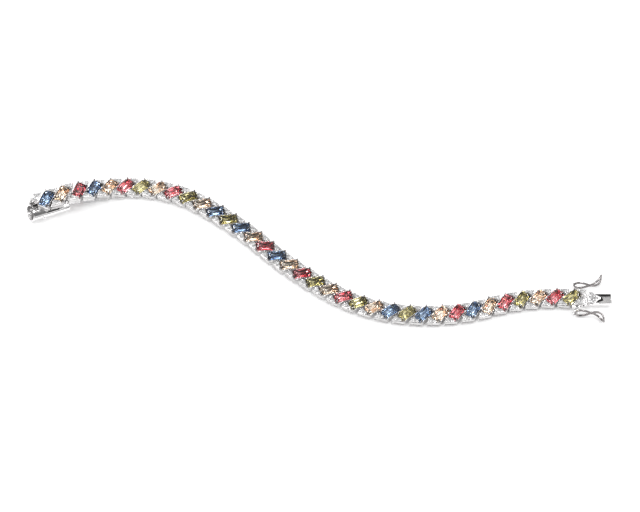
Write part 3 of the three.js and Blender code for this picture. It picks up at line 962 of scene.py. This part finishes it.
def safety_catch(bm, side):
    """A wire bent in a figure of eight that stands upright, with an eye at its tip."""
    waist = CATCH["waist"]
    tip = waist + CATCH["bend_radius"] * math.radians(CATCH["bend_turn"])
    path = []
    for turn in np.linspace(0.5 * math.pi, 2.5 * math.pi, CATCH["steps"]):
        reach = tip - waist if math.cos(turn) > 0 else waist
        height = CATCH["half_height"] * math.sin(2 * turn)
        path.append(catch_point(waist + reach * math.cos(turn), height, side))
    sweep(bm, path, [CATCH["wire"]] * len(path), sides=12)
    middle = catch_point(waist, 0, side)
    ball(bm, middle, CATCH["ball"])
    end = catch_point(tip, 0, side)
    outward = (end - catch_point(tip - 0.3, 0, side)).normalized()
    ring(bm, end, UP.cross(outward), CATCH["tip_radius"], CATCH["tip_wire"], steps=18)


hinge = next(joint for joint in frame["joints"] if joint["name"] == "tongue_hinge")
hinge_y = -Vector(hinge["axis"])
hinge_turn = Matrix((hinge_y.cross(UP), hinge_y, UP)).transposed().to_4x4()
end_frame = Matrix.Translation(hinge["pos_m"]) @ hinge_turn @ Matrix.Scale(MM, 4)
end_frame = end_frame @ Matrix.Translation((-KNUCKLE["x"], 0, -KNUCKLE["z"]))

tongue_metal = [(as_mesh(tongue_head), end_frame), (as_mesh(tongue_tray), end_frame)]
tongue = piece("tongue_metal", tongue_metal, TONGUE_METALS, METAL_SMOOTH_ANGLE)
finish_piece(tongue, "tongue", "silver", "clasp_tongue")
tongue_stones = piece(
    "tongue_clear_stones", [(as_mesh(head_stones), end_frame)], stone_materials["clear_stone"])
shade_facets(tongue_stones, TONGUE_SEED)
finish_piece(tongue_stones, "tongue", "clear_stone")
for side, word in ((-1, "front"), (1, "back")):
    catch_wire = [(as_mesh(safety_catch, side), end_frame)]
    # The catch wires take the darkened silver, a painted shade on them.
    catch = piece(f"{word}_safety_catch", catch_wire, [shade_darkened_silver], WIRE_SMOOTH_ANGLE)
    finish_piece(catch, f"{word}_catch", "silver", f"catch_{word}")


# ---- the chain ----

LINKS_PER_RUN = 6
FIRST_CHAIN_LINK = 2
chain_links = links[FIRST_CHAIN_LINK:]
for run in range(math.ceil(len(chain_links) / LINKS_PER_RUN)):
    members = chain_links[run * LINKS_PER_RUN:(run + 1) * LINKS_PER_RUN]
    metal, stones = [], []
    for matrix in members:
        is_last = matrix == links[-1]
        metal += setting(matrix, with_neck=not is_last)
        stones += clear_stones(matrix)
        if is_last:
            metal += [(as_mesh(end_pad), matrix), (as_mesh(end_fittings), end_frame)]
            stones.append((as_mesh(end_pad_stones), matrix))
    run_piece = piece(f"chain_metal_{run + 1}", metal, LINK_METALS, METAL_SMOOTH_ANGLE)
    finish_piece(run_piece, "chain", "silver", f"chain_run_{run + 1}")
    stone_piece = piece(f"clear_stones_{run + 1}", stones, stone_materials["clear_stone"])
    shade_facets(stone_piece, CHAIN_SEED + run)
    finish_piece(stone_piece, "chain", "clear_stone")


# ---- the box clasp ----

def clasp_tube(bm):
    """The oval tube: an open slanted mouth, a window on top, a closed rounded end and a groove."""
    middle = Vector((0, 0, TUBE["half_height"]))
    stations = TUBE_STATIONS
    first = stations[0]
    to_end = Matrix(((0, 0, 1), (1, 0, 0), (0, 1, 0))).to_4x4()
    made = bmesh.ops.create_circle(
        bm, cap_ends=False, segments=36, radius=1.0,
        matrix=Matrix.Translation(middle + Vector((first["x"], 0, 0))) @ to_end,
    )
    shape = (1, TUBE["half_width"], TUBE["half_height"])
    bmesh.ops.scale(bm, verts=made["verts"], vec=shape, space=Matrix.Translation(-middle))
    edges = list(bm.edges)
    for near, far in zip(stations, stations[1:]):
        result = bmesh.ops.extrude_edge_only(bm, edges=edges)
        verts = made_of(result, bmesh.types.BMVert)
        edges = made_of(result, bmesh.types.BMEdge)
        share = far["share"] / near["share"]
        bmesh.ops.translate(bm, verts=verts, vec=(far["x"] - near["x"], 0, 0))
        bmesh.ops.scale(
            bm, verts=verts, vec=(1, share, share), space=Matrix.Translation(-middle))
    bmesh.ops.contextual_create(bm, geom=edges)
    slant = math.radians(TUBE["mouth_slant"])
    mouth = middle + Vector((TUBE["mouth_x"], 0, 0))
    bmesh.ops.bisect_plane(
        bm, geom=bm.verts[:] + bm.edges[:] + bm.faces[:], plane_co=mouth,
        plane_no=(-math.cos(slant), 0, math.sin(slant)), clear_outer=True,
    )
    bmesh.ops.recalc_face_normals(bm, faces=bm.faces)
    window = [face for face in bm.faces if in_window(face.calc_center_median())]
    bmesh.ops.delete(bm, geom=window, context="FACES")
    groove = [face for face in bm.faces if in_groove(face.calc_center_median())]
    bmesh.ops.inset_region(bm, faces=groove, thickness=0.08, depth=-0.14)
    # The groove's faces are painted near black, a painted shade in the recess.
    for face in groove:
        face.material_index = RECESS_PAINTED_SHADE
    bmesh.ops.solidify(bm, geom=list(bm.faces), thickness=TUBE["wall"])
    for face in bm.faces:
        if is_inner(face.calc_center_median()):
            face.material_index = WALL_FINISH


def in_window(place):
    return (WINDOW["left"] < place.x < WINDOW["right"] and abs(place.y) < WINDOW["half_width"]
            and place.z > TUBE["half_height"])


def in_groove(place):
    return (GROOVE["left"] < place.x < GROOVE["right"] and place.z > TUBE["half_height"]
            and GROOVE["front"] < place.y < GROOVE["back"])


def is_inner(place):
    """Whether a point of the tube lies well inside its outer oval."""
    across = place.y / TUBE["half_width"]
    up = place.z / TUBE["half_height"] - 1
    return math.hypot(across, up) < TUBE["inner_share"] and place.x < TUBE["inner_end"]


def clasp_fittings(bm):
    """The shelf over the mouth's far side, and the two side pegs that the catches snap over."""
    slab(bm, box_points(**SHELF["outline"]), SHELF["top"] - SHELF["thickness"], SHELF["top"])
    wall = dict(SHELF["outline"], front=SHELF["outline"]["back"] - SHELF["thickness"])
    slab(bm, box_points(**wall), SHELF["bottom"], SHELF["top"])
    for side in (1, -1):
        ball(bm, (PEG["x"], side * PEG["across"], TUBE["half_height"]), PEG["radius"])


box_frame = links[0].copy()
box_frame.translation.z = 0
box_frame = box_frame @ Matrix.Translation((0, TUBE["middle_y"], 0))
left_pad_frame = links[0] @ Matrix.Translation((-PITCH, 0, 0))
clasp_metal = [
    (as_mesh(clasp_tube), box_frame), (as_mesh(clasp_fittings), box_frame),
    (bare_left_body_mesh, links[0], WALL_FINISH), (claws_mesh, links[0], CLAW_PAINTED_SHADE),
    (rails_mesh, links[0]), (pad_mesh, links[0]), (pad_mesh, left_pad_frame),
]
clasp_metal += setting(links[1])
clasp = piece("clasp_box_metal", clasp_metal, CLASP_METALS, METAL_SMOOTH_ANGLE)
finish_piece(clasp, "chain", "silver", "clasp_box")
clasp_stones = [(clear_mesh, links[0]), (clear_mesh, left_pad_frame)] + clear_stones(links[1])
clasp_clear = piece("clasp_clear_stones", clasp_stones, stone_materials["clear_stone"])
shade_facets(clasp_clear, CLASP_SEED)
finish_piece(clasp_clear, "chain", "clear_stone")


# ---- the scene ----

def softbox(name, place):
    """A round soft light that looks at the origin."""
    lamp = bpy.data.lights.new(name, "AREA")
    lamp.shape = "DISK"
    lamp.size = SOFTBOX_SIZE
    lamp.energy = SOFTBOX_POWER
    made = bpy.data.objects.new(name, lamp)
    made.location = place
    made.rotation_euler = (Vector() - Vector(place)).to_track_quat("-Z", "Y").to_euler()
    bpy.context.scene.collection.objects.link(made)


def map_range(nodes, link, value, source, target):
    """A smooth step from one range of values to another."""
    node = nodes.new("ShaderNodeMapRange")
    node.interpolation_type = "SMOOTHSTEP"
    node.inputs["From Min"].default_value, node.inputs["From Max"].default_value = source
    node.inputs["To Min"].default_value, node.inputs["To Max"].default_value = target
    link(value, node.inputs["Value"])
    return node.outputs["Result"]


def times(nodes, link, first, second):
    node = nodes.new("ShaderNodeMath")
    node.operation = "MULTIPLY"
    link(first, node.inputs[0])
    link(second, node.inputs[1])
    return node.outputs["Value"]


def studio_world(strength, panels, dark_sides):
    """A pale surround of soft panels over a dark horizon, darker on the sides with no light."""
    world = bpy.data.worlds.new("studio")
    world.use_nodes = True
    nodes, link = world.node_tree.nodes, world.node_tree.links.new
    background = nodes["Background"]
    background.inputs["Color"].default_value = (1, 1, 1, 1)
    place = nodes.new("ShaderNodeTexCoord").outputs["Generated"]
    cells = nodes.new("ShaderNodeTexVoronoi")
    cells.inputs["Scale"].default_value = panels["scale"]
    link(place, cells.inputs["Vector"])
    shade = map_range(nodes, link, cells.outputs["Color"], panels["cells"], panels["range"])
    split = nodes.new("ShaderNodeSeparateXYZ")
    link(place, split.inputs["Vector"])
    horizon = [math.sin(math.radians(angle)) for angle in panels["horizon"]]
    above = map_range(nodes, link, split.outputs["Z"], horizon, (panels["horizon_share"], 1.0))
    level = times(nodes, link, shade, above)
    for side in dark_sides:
        facing = nodes.new("ShaderNodeVectorMath")
        facing.operation = "DOT_PRODUCT"
        facing.inputs[1].default_value = side["way"]
        link(place, facing.inputs[0])
        edge = [math.cos(math.radians(angle)) for angle in side["width"]]
        away = map_range(nodes, link, facing.outputs["Value"], edge, (1.0, side["share"]))
        level = times(nodes, link, level, away)
    scaled = nodes.new("ShaderNodeMath")
    scaled.operation = "MULTIPLY"
    scaled.inputs[1].default_value = strength
    link(level, scaled.inputs[0])
    direct = nodes.new("ShaderNodeLightPath")
    seen = nodes.new("ShaderNodeMix")
    link(direct.outputs["Is Camera Ray"], seen.inputs["Factor"])
    link(scaled.outputs["Value"], seen.inputs["A"])
    seen.inputs["B"].default_value = 1.0
    link(seen.outputs["Result"], background.inputs["Strength"])
    bpy.context.scene.world = world


def pale_floor():
    """A wide white floor just under the bracelet, with a faint glow of its own."""
    bm = bmesh.new()
    bmesh.ops.create_grid(bm, x_segments=1, y_segments=1, size=FLOOR_HALF_SIZE)
    bmesh.ops.translate(bm, verts=bm.verts, vec=(0, 0, -FLOOR_DROP))
    mesh = bpy.data.meshes.new("floor")
    bm.to_mesh(mesh)
    bm.free()
    material, nodes, _ = new_material("pale_floor")
    shader = nodes["Principled BSDF"]
    shader.inputs["Base Color"].default_value = (0.93, 0.93, 0.93, 1)
    shader.inputs["Roughness"].default_value = 0.9
    shader.inputs["Specular IOR Level"].default_value = 0.1
    shader.inputs["Emission Color"].default_value = (1, 1, 1, 1)
    shader.inputs["Emission Strength"].default_value = 0.2
    mesh.materials.append(material)
    floor = bpy.data.objects.new("floor", mesh)
    bpy.context.scene.collection.objects.link(floor)


FLOOR_HALF_SIZE = 4.0
FLOOR_DROP = 0.02 * MM
ELEVATION = math.radians(55.1)
CAMERA_DISTANCE = 1.0
LOOK_AT = Vector((1.08, -2.8, 2.9)) * MM
LENS = 190.5
camera = bpy.data.objects.new("camera", bpy.data.cameras.new("camera"))
camera.data.lens = LENS
camera.data.sensor_width = 36
camera.data.clip_start = 0.01
camera_way = Vector((0, -math.cos(ELEVATION), math.sin(ELEVATION)))
camera.location = LOOK_AT + camera_way * CAMERA_DISTANCE
camera.rotation_euler = (-camera_way).to_track_quat("-Z", "Y").to_euler()
bpy.context.scene.collection.objects.link(camera)
bpy.context.scene.camera = camera

SOFTBOX_SIZE = 0.22
SOFTBOX_POWER = 1.5
SOFTBOXES = {
    "left": (-0.75, 0.1, 0.95), "right": (0.75, 0.1, 0.95), "top": (0, 0.15, 1.25),
    "back_left": (-0.6, 0.65, 0.8), "back_right": (0.6, 0.65, 0.8),
    "front_left": (-0.4, -0.45, 1.0), "front_right": (0.45, -0.4, 1.0),
}

pale_floor()
studio_world(
    strength=1.0,
    panels={
        "scale": 2.6, "cells": (0.2, 0.8), "range": (0.15, 1.5), "horizon": (4, 24),
        "horizon_share": 0.12,
    },
    dark_sides=[
        {"way": camera_way, "width": (42, 14), "share": 0.06},
        {"way": camera_way * Vector((1, -1, 1)), "width": (30, 10), "share": 0.7},
    ],
)
for word, place in SOFTBOXES.items():
    softbox(f"{word}_softbox", place)
bpy.context.scene.view_settings.view_transform = "Standard"
